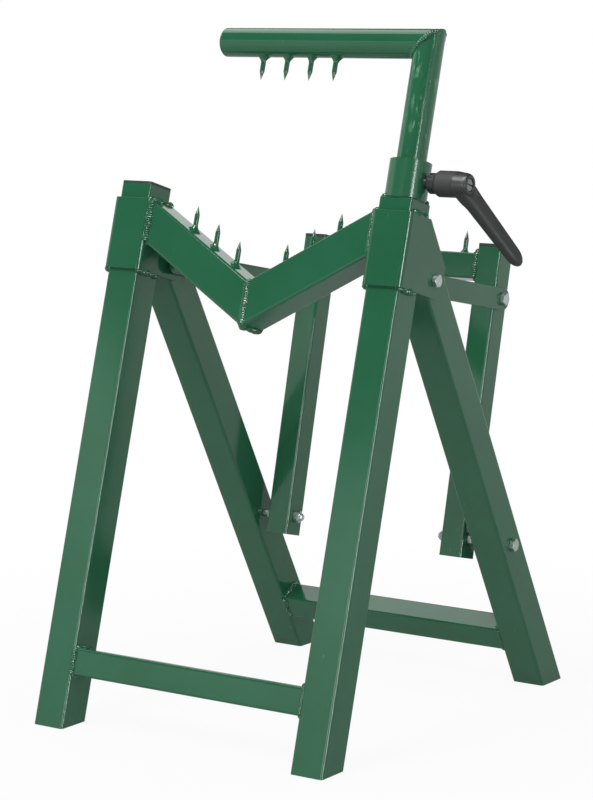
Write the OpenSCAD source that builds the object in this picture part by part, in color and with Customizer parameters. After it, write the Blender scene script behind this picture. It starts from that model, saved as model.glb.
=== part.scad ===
// Folding log saw stand: two front legs with a V cradle, a rear frame that folds on two bolts,
// and a spiked clamp arm that slides in the right front leg and is held by a clamp lever.
// The origin is on the floor, under the middle of the box round the whole stand.
// X runs to the right as seen from the front, Y to the back and Z up.

/* [Legs] */
// Width over the outer faces of the legs
overall_width = 380; // [320:1:520]
// Side of the square leg tube
leg_size = 40; // [38:1:46]
// Wall of the leg tube
leg_wall = 2; // [1.5:0.25:2.5]
// Outer corner radius of every square tube
tube_corner = 3; // [2.5:0.5:5]
// Length of a front leg along its front face
front_leg_length = 606; // [560:1:760]
// How much further the left front leg reaches above the right one
left_leg_rise = 2.5; // [0:0.5:6]
// Lean of the front legs from upright
front_lean = 15.7; // [12:0.1:20]
// Angle between the front and rear legs when the stand is open
open_angle = 45; // [38:1:50]

/* [Braces] */
// Side of the square tube of both lower braces
brace_size = 30; // [25:1:36]
// Wall of the brace tube
brace_wall = 2; // [1.5:0.25:3]
// Height of the front brace's lower edge along the front leg
front_brace_height = 60; // [30:1:200]
// Height of the rear brace's lower edge along the rear leg
rear_brace_height = 48; // [30:1:120]

/* [Head brackets] */
// Thickness of the bent bracket plate
bracket_plate = 4; // [3:0.5:5]
// Height of the bracket along the leg
bracket_height = 80; // [70:1:110]
// Leg left standing above the bracket
leg_stub = 14.5; // [8:0.5:30]
// Depth of the cheeks behind the leg's front face
cheek_depth = 81; // [80:0.5:90]
// Radius of the cheek's lower rear corner
cheek_corner = 16; // [8:0.5:18]
// Outer radius of the bracket's two bends
bend_radius = 6; // [5.5:0.5:8]
// Side clearance between the cheeks and the legs
cheek_play = 0.3; // [0.2:0.05:0.6]
// Height of the pivot bolt above the bracket's lower edge
pivot_rise = 19.5; // [18:0.5:30]
// Depth of the pivot bolt behind the leg's front face
pivot_depth = 63.5; // [60:0.5:66]

/* [V cradle] */
// Depth of the V tube from front to back
v_size = 40; // [30:1:44]
// Height of the V tube square to its slope
v_height = 43; // [30:1:46]
// Wall of the V tube
v_wall = 2; // [1.5:0.25:3]
// Slope of the V arms
v_slope = 30; // [20:1:34]
// Spikes on each arm of the V
v_spike_count = 3; // [1:1:4]
// Sideways distance between the V spikes
v_spike_pitch = 31.5; // [20:0.5:34]
// Length of a V spike above the tube
v_spike_length = 27.5; // [20:0.5:40]

/* [Spikes] */
// Diameter of a spike's shank
spike_d = 5.5; // [4:0.5:8]
// Length of a spike's point
spike_point = 10; // [6:0.5:16]
// Width of the weld ring round a spike
spike_weld = 3.4; // [2:0.1:4]
// Height of the weld ring round a spike
spike_weld_height = 6; // [4:0.5:9]

/* [Rear frame] */
// Distance of the pivot bolt behind the rear leg's front face
pivot_in_rear = 15.2; // [12:0.1:20]
// Distance between the two bolts of a link bar
link_centres = 244.5; // [230:0.5:260]
// Fall of the link bars from level
link_drop = 10.2; // [7:0.1:14]
// Width of a link bar
link_width = 25; // [22:1:30]
// Thickness of a link bar
link_plate = 5; // [3:0.5:6]
// Link bar past the pivot bolt
link_front = 20; // [15:0.5:22]
// Link bar past the link bolt
link_rear = 15; // [14:0.5:22]
// Gap between the rear leg and the short upright
upright_gap = 15; // [14:0.5:20]
// Side of the square tube of the short uprights
upright_size = 30; // [26:1:34]
// Wall of the short upright tube
upright_wall = 2; // [1.5:0.25:3]
// Height of the strut bolt along the rear leg
strut_height = 195.5; // [170:0.5:230]
// Short upright below the strut bolt
upright_foot = 22; // [12:0.5:40]
// Short upright above the link bolt
upright_past_link = 58.2; // [50:0.1:140]
// Distance of the upright's centre line behind the link bolt
upright_behind = 4; // [0:0.5:6]
// Side of the square tube of the rear bar
rear_bar_size = 30; // [25:1:30]
// Wall of the rear bar tube
rear_bar_wall = 2; // [1.5:0.25:3]
// Top of the rear bar below the top of the uprights
rear_bar_drop = 8; // [0:0.5:20]
// Distance of the rear spikes from the uprights
rear_spike_inset = 25; // [14:0.5:60]
// Length of a rear spike above the bar
rear_spike_length = 26.5; // [20:0.5:40]

/* [Clamp arm] */
// Diameter of the arm's round tube
arm_d = 32; // [26:0.5:32.5]
// Wall of the arm's tube
arm_wall = 2; // [1.5:0.25:3]
// Height of the bar's axis above the leg's top
arm_rise = 169; // [120:1:260]
// Arm tube below the bar's axis
arm_drop = 420; // [360:1:520]
// Reach of the bar from the leg's axis
arm_reach = 259.5; // [230:0.5:320]
// Spikes on the bar
arm_spike_count = 4; // [1:1:5]
// Distance of the first spike from the leg's axis
arm_spike_start = 114; // [80:1:120]
// Distance between the spikes of the bar
arm_spike_pitch = 31.5; // [20:0.5:34]
// Length of an arm spike below the tube
arm_spike_length = 26; // [20:0.5:40]
// Side clearance of the guide plug in the leg
plug_play = 0.3; // [0.2:0.05:0.6]
// Height of the guide plug's flange
plug_flange = 5; // [3:0.5:10]
// Length of the guide plug inside the tube
plug_spigot = 20; // [10:1:40]

/* [Clamp collar and lever] */
// Outer diameter of the collar
collar_d = 45; // [42:0.5:52]
// Clearance between the arm's tube and the collar's bore
collar_play = 0.5; // [0.3:0.05:0.8]
// Height of the collar
collar_height = 42; // [34:1:60]
// Chamfer round the collar's lower edge
collar_chamfer = 1.5; // [0.5:0.25:2.5]
// Diameter of the clamp stud
stud_d = 12; // [10:1:14]
// Height of the clamp screw above the collar's foot
stud_height = 20; // [12:0.5:24]
// Distance of the lever's neck from the collar
neck_gap = 3.8; // [3:0.2:8]
// Diameter of the lever's steel neck
neck_d = 22.2; // [20:0.2:23]
// Length of the lever's steel neck
neck_length = 9.6; // [8:0.2:14]
// Diameter of the lever's hub
hub_d = 27.8; // [25:0.1:30]
// Length of the lever's hub and cap
hub_length = 39.9; // [38:0.1:46]
// Length of the handle from the hub's axis to its end
handle_length = 106.5; // [80:0.5:130]
// Width of the handle at the hub
handle_width = 22; // [18:0.5:25]
// Thickness of the handle at the hub
handle_thickness = 16; // [12:0.5:18]
// Width of the handle near its end, as a share of its width at the hub
handle_taper = 0.77; // [0.6:0.01:0.95]
// Radius along the handle's edges
handle_edge = 4.2; // [2:0.1:4.5]
// Rise of the handle away from the stand
handle_rise = 26; // [15:0.1:35]
// Turn of the handle from hanging straight down towards the back
handle_turn = 28; // [0:1:90]

/* [Fasteners] */
// Diameter of the frame bolts
bolt_d = 8; // [6:0.5:9]
// Width across flats of the bolt heads and nuts
hex_flats = 13; // [12:0.5:15]
// Height of a bolt head
head_height = 5.3; // [4:0.1:7]
// Height of a locking nut
nut_height = 8; // [6:0.5:10]
// Height of the spacer nut on a strut bolt
strut_nut_height = 6.5; // [5:0.1:8]
// Bolt thread left past a nut
bolt_past_nut = 2.5; // [1:0.5:6]
// Rim thickness of the caps on the short uprights
upright_cap_rim = 3.5; // [2:0.5:6]
// Rim thickness of the cap on the left leg
leg_cap_rim = 2.5; // [1.5:0.5:5]
// Thickness of the steel end of the bar, with its rounded edge
bar_end_rim = 2.5; // [1.5:0.5:5]
// Length of a cap inside its tube
cap_insert = 14; // [8:1:20]

/* [Hidden] */
$fn = 64;

left = -1;
right = 1;
sides = [left, right];

// Steps of a round corner in an outline, and of a hulled ball
corner_steps = 6;
ball_steps = 32;
// Overlap of a cutting tool past the face that it cuts
cut = 1;
// A cutting block larger than the whole stand
block = 2000;
// Smallest inner corner radius of a square tube
least_corner = 0.5;

// Clearances: bolt in a hole, bolt in a hole that turns on it, and thread
bolt_play = 0.25;
turning_play = 0.05;
thread_play = 0.05;
// Clearance beside a link bar that turns between nuts, and of a part that rests on another
side_play = 0.2;
rest_play = 0.3;
// Clearance of a plug or cap in its tube
plug_fit = 0.15;

half_width = overall_width / 2;
leg_x = half_width - leg_size / 2;
leg_inner = half_width - leg_size;
leg_bore = leg_size - 2 * leg_wall;

bracket_top = front_leg_length - leg_stub;
bracket_low = bracket_top - bracket_height;
cheek_out = half_width + cheek_play;
cheek_in = leg_inner - cheek_play;
v_end = cheek_in - bracket_plate;
bracket_inner_width = cheek_out - cheek_in;

// Pivot bolt, first along and behind the front leg, then from the front toe
pivot_along = bracket_low + pivot_rise;
pivot_y = pivot_along * sin(front_lean) + pivot_depth * cos(front_lean);
pivot_z = pivot_along * cos(front_lean) - pivot_depth * sin(front_lean);

// Rear legs: front face at the floor, and the footprint from toe to heel
rear_lean = open_angle - front_lean;
rear_y = pivot_y + pivot_z * tan(rear_lean) - pivot_in_rear / cos(rear_lean);
foot_spread = rear_y + leg_size / cos(rear_lean);
pivot_rear_along = (rear_y - pivot_y) * sin(rear_lean) + pivot_z * cos(rear_lean);
rear_stop = pivot_depth - leg_size - rest_play;

// Strut bolt through the rear leg's middle, and link bolt at the end of the link bar
strut_depth = leg_size / 2;
strut_y = rear_y + strut_depth * cos(rear_lean) - strut_height * sin(rear_lean);
strut_z = strut_depth * sin(rear_lean) + strut_height * cos(rear_lean);
link_y = pivot_y + link_centres * cos(link_drop);
link_z = pivot_z - link_centres * sin(link_drop);
strut_to_link = norm([link_y - strut_y, link_z - strut_z]);
upright_lean = atan2(link_y - strut_y, link_z - strut_z) + asin(upright_behind / strut_to_link);
link_on_upright = sqrt(strut_to_link * strut_to_link - upright_behind * upright_behind);
upright_rise = link_on_upright + upright_past_link;

// Sideways stack from the rear leg inwards
upright_out = leg_inner - upright_gap;
upright_in = upright_out - upright_size;
link_out = upright_out + link_plate;
pivot_nut_height = v_end - side_play - link_out;

// V cradle: the arms' top edges meet the brackets' top edges
v_top = bracket_top - v_end * tan(v_slope);
v_axis = v_top - v_height / 2 / cos(v_slope);

bar_along = front_leg_length + arm_rise;
arm_low = bar_along - arm_drop;
arm_r = arm_d / 2;
arm_bore = arm_d - 2 * arm_wall;

// Lever stations along its own axis, outwards from the axis of the leg
collar_bore = arm_d + 2 * collar_play;
collar_face = collar_d / 2;
stud_along = front_leg_length + stud_height;
stud_tip = arm_r + rest_play;
neck_start = collar_face + neck_gap;
hub_start = neck_start + neck_length;
hub_end = hub_start + hub_length;
hub_r = hub_d / 2;
hub_shoulder = 4;
cap_taper = 15.5;
cap_r = 12.1;
cap_edge = 3.7;
cap_edge_r = 10.4;
neck_chamfer = 2.6;
serration_length = 5;
serration_r = 8.8;
serration_depth = 0.9;
serration_count = 24;
serration_play = 0.15;
guide_r = 7.6;
guide_length = 17;
screw_r = 3;
screw_bite = 8;
screw_head_r = 6.3;
screw_head_height = 4;
screw_head_sink = 1;
slot_width = 1.4;
slot_depth = 1.8;
chamber_r = 6.8;
chamber_floor = 21;
floor_thickness = 3;
stud_bite = 8;
spring_wire = 1.2;
spring_turns = 5;
spring_end_gap = 0.3;
spring_steps = 12;
spring_sides = 6;
handle_root = 28.4;
handle_round_from = 0.84;
handle_tip_share = 0.42;
handle_stations = [[0, 1], [handle_round_from * handle_length, handle_taper],
                   [handle_length - handle_edge, handle_tip_share]];
screw_head_x = hub_end - screw_head_sink - screw_head_height;

// Side to side middle of the box round the stand, from the bolt heads to the handle's end
handle_reach = max([for (s = handle_stations) s[0] * sin(handle_rise)
  + handle_half(handle_thickness, s[1]) * cos(handle_rise)]) + handle_edge;
box_left = -(cheek_out + bracket_plate + head_height);
box_right = leg_x + hub_start + handle_root + handle_reach;
mid_x = -(box_left + box_right) / 2;

paint = "#3f9a6d";
weld_paint = "#4aa57a";
black_plastic = "#2c2c2e";
zinc = "#c8ccd0";
dark_steel = "#4b4d50";
screw_steel = "#8d8f92";

// Half a side of the handle's section between the centres of its rounded edges
function handle_half(side, share) = max(0, side * share / 2 - handle_edge);

// Length of a front leg's top above the floor, along its front face
function leg_top(side) = front_leg_length + (side < 0 ? left_leg_rise : 0);

// Points of an arc round a centre, from one angle to another
function arc(cx, cy, r, from, to) =
  [for (i = [0 : corner_steps]) let (a = from + (to - from) * i / corner_steps)
    [cx + r * cos(a), cy + r * sin(a)]];

// Points of a rectangle with round corners, centred
function round_rect(w, d, r) = concat(
  arc(w / 2 - r, d / 2 - r, r, 0, 90), arc(r - w / 2, d / 2 - r, r, 90, 180),
  arc(r - w / 2, r - d / 2, r, 180, 270), arc(w / 2 - r, r - d / 2, r, 270, 360));

// Places: the front legs' plane, the rear legs' plane, the link bars and the short uprights
module on_front() {
  translate([mid_x, -foot_spread / 2, 0]) rotate([-front_lean, 0, 0]) children();
}

module on_rear() {
  translate([mid_x, rear_y - foot_spread / 2, 0]) rotate([rear_lean, 0, 0]) children();
}

module on_link() {
  translate([mid_x, pivot_y - foot_spread / 2, pivot_z]) rotate([-link_drop, 0, 0]) children();
}

module on_upright() {
  translate([mid_x, strut_y - foot_spread / 2, strut_z]) rotate([-upright_lean, 0, 0]) children();
}

// The clamp screw's axis, with Z pointing out of the stand
module on_screw() {
  on_front() translate([leg_x, leg_size / 2, stud_along]) rotate([0, 90, 0]) children();
}

// Everything under the floor
module below_floor() {
  translate([-block / 2, -block / 2, -block]) cube(block);
}

// Box tube along Z, centred on the axis
module box_tube(w, d, wall, length) {
  linear_extrude(length) difference() {
    polygon(round_rect(w, d, tube_corner));
    polygon(round_rect(w - 2 * wall, d - 2 * wall, max(tube_corner - wall, least_corner)));
  }
}

module square_tube(size, wall, length) {
  box_tube(size, size, wall, length);
}

// Round bar along X between two places
module along_x(x_from, x_to, r) {
  translate([min(x_from, x_to), 0, 0]) rotate([0, 90, 0]) cylinder(r = r, h = abs(x_to - x_from));
}

// Hexagonal bolt head or nut along X
module hex_along_x(x_from, x_to, turn = 0) {
  translate([min(x_from, x_to), 0, 0]) rotate([turn, 0, 0]) rotate([0, 90, 0])
    cylinder(d = hex_flats / cos(30), h = abs(x_to - x_from), $fn = 6);
}

// Bolt whose head lies outside x_head and whose end reaches x_end
module bolt(x_head, x_end, turn = 0) {
  out = x_head > x_end ? 1 : -1;
  hex_along_x(x_head, x_head + out * head_height, turn);
  along_x(x_head, x_end, bolt_d / 2);
}

// Plain nut between two places
module plain_nut(x_from, x_to) {
  difference() {
    hex_along_x(x_from, x_to);
    along_x(min(x_from, x_to) - cut, max(x_from, x_to) + cut, bolt_d / 2 + thread_play);
  }
}

// Locking nut with a round collar, standing from x_face towards the middle
module lock_nut(x_face, side) {
  hex_height = nut_height * 0.78;
  x_hex = x_face - side * hex_height;
  x_end = x_face - side * nut_height;
  difference() {
    union() {
      hex_along_x(x_face, x_hex);
      along_x(x_hex, x_end, hex_flats / 2 - cut);
    }
    along_x(min(x_face, x_end) - cut, max(x_face, x_end) + cut, bolt_d / 2 + thread_play);
  }
}

// Pointed pin along Z: its base at 0, its point up
module spike(length, root) {
  translate([0, 0, -root]) cylinder(d = spike_d, h = length + root - spike_point);
  translate([0, 0, length - spike_point]) cylinder(d1 = spike_d, d2 = 0.2, h = spike_point);
}

// Hollow weld ring round the base of a spike, reaching below 0
module spike_ring(root) {
  r = spike_d / 2;
  rotate_extrude() polygon([
    [r, -root], [r + spike_weld, -root], [r + spike_weld, 0.4],
    [r + spike_weld * 0.45, spike_weld_height * 0.3],
    [r + spike_weld * 0.15, spike_weld_height * 0.65], [r, spike_weld_height]
  ]);
}

module front_leg(side) {
  difference() {
    on_front() translate([side * leg_x, leg_size / 2, -leg_size])
      square_tube(leg_size, leg_wall, leg_size + leg_top(side));
    below_floor();
  }
}

module front_leg_left() color(paint) front_leg(left);
module front_leg_right() color(paint) front_leg(right);

module front_brace() color(paint) {
  on_front() translate([-leg_inner, brace_size / 2, front_brace_height + brace_size / 2])
    rotate([0, 90, 0]) square_tube(brace_size, brace_wall, 2 * leg_inner);
}

// Depth of the rear leg's rear face behind the front leg's front face, at a height on the bracket
function rear_face_depth(height) = pivot_depth
  + (leg_size - pivot_in_rear - (height - pivot_rise) * sin(open_angle)) / cos(open_angle);

// Height on the bracket at which the rear leg's rear face has a depth
function rear_face_height(depth) = pivot_rise
  + (leg_size - pivot_in_rear - (depth - pivot_depth) * cos(open_angle)) / sin(open_angle);

// Side view of a cheek, as depth behind the leg's front face and height above the bracket's foot:
// its sloping edge lies along the rear leg's rear face
function cheek_outline() = concat(
  [[-bracket_plate, 0]],
  arc(cheek_depth - cheek_corner, cheek_corner, cheek_corner, -90, 0),
  [[cheek_depth, rear_face_height(cheek_depth)], [rear_face_depth(bracket_height), bracket_height],
   [-bracket_plate, bracket_height]]);

// Bent U: a web on the leg's front and two cheeks that reach back as a fork for the rear leg
module head_bracket(side) {
  outer = bracket_inner_width + 2 * bracket_plate;
  inner_radius = max(bend_radius - bracket_plate, least_corner);
  on_front() translate([side * leg_x, 0, bracket_low]) difference() {
    intersection() {
      linear_extrude(bracket_height) difference() {
        translate([0, block / 2 - bracket_plate]) polygon(round_rect(outer, block, bend_radius));
        translate([0, block / 2]) polygon(round_rect(bracket_inner_width, block, inner_radius));
      }
      rotate([90, 0, 90]) translate([0, 0, -outer]) linear_extrude(2 * outer)
        polygon(cheek_outline());
    }
    translate([0, pivot_depth, pivot_rise]) along_x(-outer, outer, bolt_d / 2 + bolt_play);
  }
}

module head_bracket_left() color(paint) head_bracket(left);
module head_bracket_right() color(paint) head_bracket(right);

// One arm of the V, solid or hollow, before its ends are cut
module v_bar(side, hollow) {
  translate([0, leg_size / 2, v_axis]) rotate([0, side * (90 - v_slope), 0])
    translate([0, 0, -v_size]) if (hollow) {
      box_tube(v_height, v_size, v_wall, half_width / cos(v_slope) + 2 * v_size);
    } else {
      linear_extrude(half_width / cos(v_slope) + 2 * v_size) square([v_height, v_size], center = true);
    }
}

module v_arm(side) {
  on_front() intersection() {
    v_bar(side, true);
    translate([side > 0 ? 0 : -v_end, -block / 2, 0]) cube([v_end, block, block]);
  }
}

module v_arm_left() color(paint) v_arm(left);
module v_arm_right() color(paint) v_arm(right);

// Foot of each V spike on the sloping top of the arms
module at_v_spikes() {
  for (side = sides, i = [1 : v_spike_count])
    translate([side * i * v_spike_pitch, leg_size / 2, v_top + i * v_spike_pitch * tan(v_slope)])
      children();
}

module v_solid() {
  for (side = sides) v_bar(side, false);
}

module v_spikes() color(paint) {
  on_front() difference() {
    at_v_spikes() spike(v_spike_length, spike_d);
    v_solid();
  }
}

module v_spike_welds() color(weld_paint) {
  on_front() difference() {
    at_v_spikes() spike_ring(spike_d);
    v_solid();
  }
}

// Plastic cap: a rim as wide as the tube and an insert that fits inside it
module square_cap(size, wall, rim) {
  linear_extrude(rim) polygon(round_rect(size, size, tube_corner));
  inner = size - 2 * wall - 2 * plug_fit;
  translate([0, 0, -cap_insert]) linear_extrude(cap_insert)
    polygon(round_rect(inner, inner, max(tube_corner - wall, least_corner)));
}

module leg_cap_left() color(black_plastic) {
  on_front() translate([left * leg_x, leg_size / 2, leg_top(left)])
    square_cap(leg_size, leg_wall, leg_cap_rim);
}

module clamp_collar() color(paint) {
  on_front() translate([leg_x, leg_size / 2, front_leg_length]) difference() {
    union() {
      cylinder(d1 = collar_d - 2 * collar_chamfer, d2 = collar_d, h = collar_chamfer);
      translate([0, 0, collar_chamfer]) cylinder(d = collar_d, h = collar_height - collar_chamfer);
    }
    translate([0, 0, -cut]) cylinder(d = collar_bore, h = collar_height + 2 * cut);
    translate([0, 0, stud_height]) along_x(0, collar_d, stud_d / 2 + thread_play);
  }
}

module at_pivot() {
  on_front() translate([0, pivot_depth, pivot_along]) children();
}

module pivot_bolts() color(zinc) {
  at_pivot() for (side = sides)
    bolt(side * (cheek_out + bracket_plate), side * (upright_out - nut_height - bolt_past_nut), 30);
}

module pivot_spacer_nuts() color(zinc) {
  at_pivot() for (side = sides)
    plain_nut(side * v_end, side * (v_end - pivot_nut_height));
}

module pivot_nuts() color(zinc) {
  at_pivot() for (side = sides) lock_nut(side * (upright_out - side_play), side);
}

// Rear leg: cut level at the floor, and at the top along the front leg that it stops on
module rear_leg(side) {
  difference() {
    on_rear() translate([side * leg_x, leg_size / 2, -leg_size])
      square_tube(leg_size, leg_wall, pivot_rear_along + 3 * leg_size);
    below_floor();
    on_front() translate([-block / 2, -block + pivot_depth - rear_stop, 0]) cube(block);
    on_rear() translate([0, pivot_in_rear, pivot_rear_along])
      along_x(-block / 2, block / 2, bolt_d / 2 + turning_play);
    on_rear() translate([0, strut_depth, strut_height])
      along_x(-block / 2, block / 2, bolt_d / 2 + bolt_play);
  }
}

module rear_leg_left() color(paint) rear_leg(left);
module rear_leg_right() color(paint) rear_leg(right);

module rear_brace() color(paint) {
  on_rear() translate([-leg_inner, brace_size / 2, rear_brace_height + brace_size / 2])
    rotate([0, 90, 0]) square_tube(brace_size, brace_wall, 2 * leg_inner);
}

module link_bar(side) {
  r = link_width / 2;
  on_link() difference() {
    translate([side > 0 ? upright_out : -link_out, 0, 0]) rotate([90, 0, 90])
      linear_extrude(link_plate) {
        translate([r - link_front, -r]) square([link_front + link_centres + link_rear - 2 * r, link_width]);
        for (y = [r - link_front, link_centres + link_rear - r]) translate([y, 0]) circle(r);
      }
    along_x(-half_width, half_width, bolt_d / 2 + turning_play);
    translate([0, link_centres, 0]) along_x(-half_width, half_width, bolt_d / 2 + bolt_play);
  }
}

module link_bar_left() color(paint) link_bar(left);
module link_bar_right() color(paint) link_bar(right);

module short_upright(side) {
  on_upright() difference() {
    translate([side * (upright_in + upright_size / 2), 0, -upright_foot])
      square_tube(upright_size, upright_wall, upright_foot + upright_rise);
    along_x(-half_width, half_width, bolt_d / 2 + bolt_play);
    translate([0, -upright_behind, link_on_upright])
      along_x(-half_width, half_width, bolt_d / 2 + bolt_play);
  }
}

module short_upright_left() color(paint) short_upright(left);
module short_upright_right() color(paint) short_upright(right);

module upright_cap(side) {
  on_upright() translate([side * (upright_in + upright_size / 2), 0, upright_rise])
    square_cap(upright_size, upright_wall, upright_cap_rim);
}

module upright_cap_left() color(black_plastic) upright_cap(left);
module upright_cap_right() color(black_plastic) upright_cap(right);

rear_bar_y = (rear_bar_size - upright_size) / 2;
rear_bar_top = upright_rise - rear_bar_drop;

module rear_bar() color(paint) {
  on_upright() translate([-upright_in, rear_bar_y, rear_bar_top - rear_bar_size / 2])
    rotate([0, 90, 0]) square_tube(rear_bar_size, rear_bar_wall, 2 * upright_in);
}

module at_rear_spikes() {
  on_upright() for (side = sides)
    translate([side * (upright_in - rear_spike_inset), rear_bar_y, rear_bar_top]) children();
}

module rear_spikes() color(paint) {
  at_rear_spikes() spike(rear_spike_length, 0);
}

module rear_spike_welds() color(weld_paint) {
  at_rear_spikes() spike_ring(0);
}

module at_link_bolts() {
  on_link() translate([0, link_centres, 0]) children();
}

module link_bolts() color(zinc) {
  at_link_bolts() for (side = sides)
    bolt(side * link_out, side * (upright_in - nut_height - bolt_past_nut));
}

module link_nuts() color(zinc) {
  at_link_bolts() for (side = sides) lock_nut(side * upright_in, side);
}

module strut_bolts() color(zinc) {
  on_upright() for (side = sides)
    bolt(side * half_width, side * (upright_in - nut_height - bolt_past_nut));
}

module strut_spacer_nuts() color(zinc) {
  on_upright() for (side = sides)
    plain_nut(side * upright_out, side * (upright_out + strut_nut_height));
}

module strut_nuts() color(zinc) {
  on_upright() for (side = sides) lock_nut(side * upright_in, side);
}

// Plastic guide under the arm's tube: it slides in the leg, and the tube turns on its spigot
module arm_plug() color(black_plastic) {
  on_front() translate([leg_x, leg_size / 2, arm_low]) {
    translate([0, 0, -plug_flange]) cylinder(d = leg_bore - 2 * plug_play, h = plug_flange);
    cylinder(d = arm_bore - 2 * turning_play, h = plug_spigot);
  }
}

// Half space under the arm's mitre, on the upright's side
module mitre_block(flip) {
  translate([0, 0, bar_along]) rotate([0, flip ? -45 : 135, 0])
    translate([-block / 2, -block / 2, 0]) cube(block);
}

module arm_upright() color(paint) {
  on_front() translate([leg_x, leg_size / 2, 0]) difference() {
    translate([0, 0, arm_low]) cylinder(d = arm_d, h = arm_drop + arm_d);
    translate([0, 0, arm_low - cut]) cylinder(d = arm_bore, h = arm_drop + arm_d + 2 * cut);
    mitre_block(true);
  }
}

module arm_bar() color(paint) {
  on_front() translate([leg_x, leg_size / 2, 0]) difference() {
    translate([0, 0, bar_along]) along_x(-arm_reach, arm_d, arm_r);
    translate([0, 0, bar_along]) along_x(-arm_reach - cut, arm_d + cut, arm_bore / 2);
    mitre_block(false);
  }
}

// Steel plug that closes the bar: its outer edge is rounded over
module arm_end_cap() color(paint) {
  on_front() translate([leg_x - arm_reach, leg_size / 2, bar_along]) rotate([0, -90, 0]) {
    rotate_extrude()
      polygon(concat([[0, 0]], arc(arm_r - bar_end_rim, 0, bar_end_rim, 0, 90), [[0, bar_end_rim]]));
    translate([0, 0, -cap_insert]) cylinder(r = arm_bore / 2 - plug_fit, h = cap_insert);
  }
}

// Foot of each arm spike, with Z pointing down the leg
module at_arm_spikes() {
  for (i = [0 : arm_spike_count - 1])
    translate([leg_x - arm_spike_start - i * arm_spike_pitch, leg_size / 2, bar_along - arm_r])
      rotate([180, 0, 0]) children();
}

module bar_solid() {
  translate([0, leg_size / 2, bar_along]) along_x(leg_x - arm_reach, leg_x, arm_r);
}

module arm_spikes() color(paint) {
  on_front() difference() {
    at_arm_spikes() spike(arm_spike_length, spike_d / 2);
    bar_solid();
  }
}

module arm_spike_welds() color(weld_paint) {
  on_front() difference() {
    at_arm_spikes() spike_ring(spike_d / 2);
    bar_solid();
  }
}

module clamp_stud() color(dark_steel) {
  on_screw() translate([0, 0, stud_tip]) cylinder(d = stud_d, h = hub_start + stud_bite - stud_tip);
}

// Outline of the serrated part: a star whose points reach r
module star(r) {
  polygon([for (i = [0 : 2 * serration_count - 1])
    let (a = 180 * i / serration_count, q = r - (i % 2) * serration_depth)
      [q * cos(a), q * sin(a)]]);
}

// Steel insert: the neck, the serrations and the round guide that the handle slides on
module lever_insert() color(dark_steel) {
  on_screw() difference() {
    union() {
      translate([0, 0, neck_start])
        cylinder(d1 = neck_d - 2 * neck_chamfer, d2 = neck_d, h = neck_chamfer);
      translate([0, 0, neck_start + neck_chamfer]) cylinder(d = neck_d, h = neck_length - neck_chamfer);
      translate([0, 0, hub_start]) linear_extrude(serration_length) star(serration_r);
      translate([0, 0, hub_start + serration_length])
        cylinder(r = guide_r, h = guide_length - serration_length);
    }
    translate([0, 0, neck_start - cut])
      cylinder(d = stud_d + 2 * thread_play, h = neck_length + stud_bite + 2 * cut);
    translate([0, 0, hub_start]) cylinder(r = screw_r + thread_play, h = guide_length + cut);
  }
}

module lever_screw() color(screw_steel) {
  on_screw() difference() {
    union() {
      translate([0, 0, hub_start + guide_length - screw_bite])
        cylinder(r = screw_r, h = screw_head_x - hub_start - guide_length + screw_bite);
      translate([0, 0, screw_head_x]) cylinder(r = screw_head_r, h = screw_head_height);
    }
    translate([-slot_width / 2, -hub_r, screw_head_x + screw_head_height - slot_depth])
      cube([slot_width, hub_d, slot_depth + cut]);
  }
}

spring_low = hub_start + chamber_floor + floor_thickness + spring_end_gap;
spring_high = screw_head_x - spring_end_gap;
spring_mean = (screw_r + chamber_r) / 2;
spring_rings = spring_turns * spring_steps;

// Ring of points round the spring's wire at step i
function wire_ring(i) =
  let (a = 360 * i / spring_steps,
       z = spring_low + spring_wire / 2 + (spring_high - spring_low - spring_wire) * i / spring_rings)
    [for (k = [0 : spring_sides - 1])
      let (b = 360 * k / spring_sides, q = spring_mean + spring_wire / 2 * cos(b))
        [q * cos(a), q * sin(a), z + spring_wire / 2 * sin(b)]];

module lever_spring() color(zinc) {
  points = [for (i = [0 : spring_rings]) each wire_ring(i)];
  sides_of_wire = [for (i = [0 : spring_rings - 1], k = [0 : spring_sides - 1])
    let (n = (k + 1) % spring_sides, a = i * spring_sides, b = a + spring_sides)
      each [[a + k, a + n, b + n], [a + k, b + n, b + k]]];
  last = spring_rings * spring_sides;
  ends = [for (k = [1 : spring_sides - 2]) each [[0, k + 1, k], [last, last + k, last + k + 1]]];
  on_screw() polyhedron(points, concat(sides_of_wire, ends));
}

// The handle's arm, from the hub outwards, in the direction that it points: a flat bar with
// rounded edges that narrows to a rounded end
module handle_arm() {
  rotate([0, 0, handle_turn + front_lean]) rotate([0, 90 - handle_rise, 0]) hull()
    for (s = handle_stations, x = sides, y = sides)
      translate([x * handle_half(handle_thickness, s[1]), y * handle_half(handle_width, s[1]), s[0]])
        sphere(r = handle_edge, $fn = ball_steps);
}

module lever_handle() color(black_plastic) {
  on_screw() difference() {
    union() {
      translate([0, 0, hub_start])
        cylinder(r1 = neck_d / 2, r2 = hub_r, h = hub_shoulder);
      translate([0, 0, hub_start + hub_shoulder])
        cylinder(r = hub_r, h = hub_length - hub_shoulder - cap_taper);
      translate([0, 0, hub_end - cap_taper])
        cylinder(r1 = hub_r, r2 = cap_r, h = cap_taper - cap_edge);
      translate([0, 0, hub_end - cap_edge]) cylinder(r1 = cap_r, r2 = cap_edge_r, h = cap_edge);
      translate([0, 0, hub_start + handle_root]) handle_arm();
    }
    translate([0, 0, hub_start - cut]) linear_extrude(serration_length + cut + side_play)
      star(serration_r + serration_play);
    translate([0, 0, hub_start]) cylinder(r = guide_r + serration_play, h = chamber_floor);
    translate([0, 0, hub_start]) cylinder(r = screw_r + serration_play, h = hub_length);
    translate([0, 0, hub_start + chamber_floor + floor_thickness]) cylinder(r = chamber_r, h = hub_length);
  }
}

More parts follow.
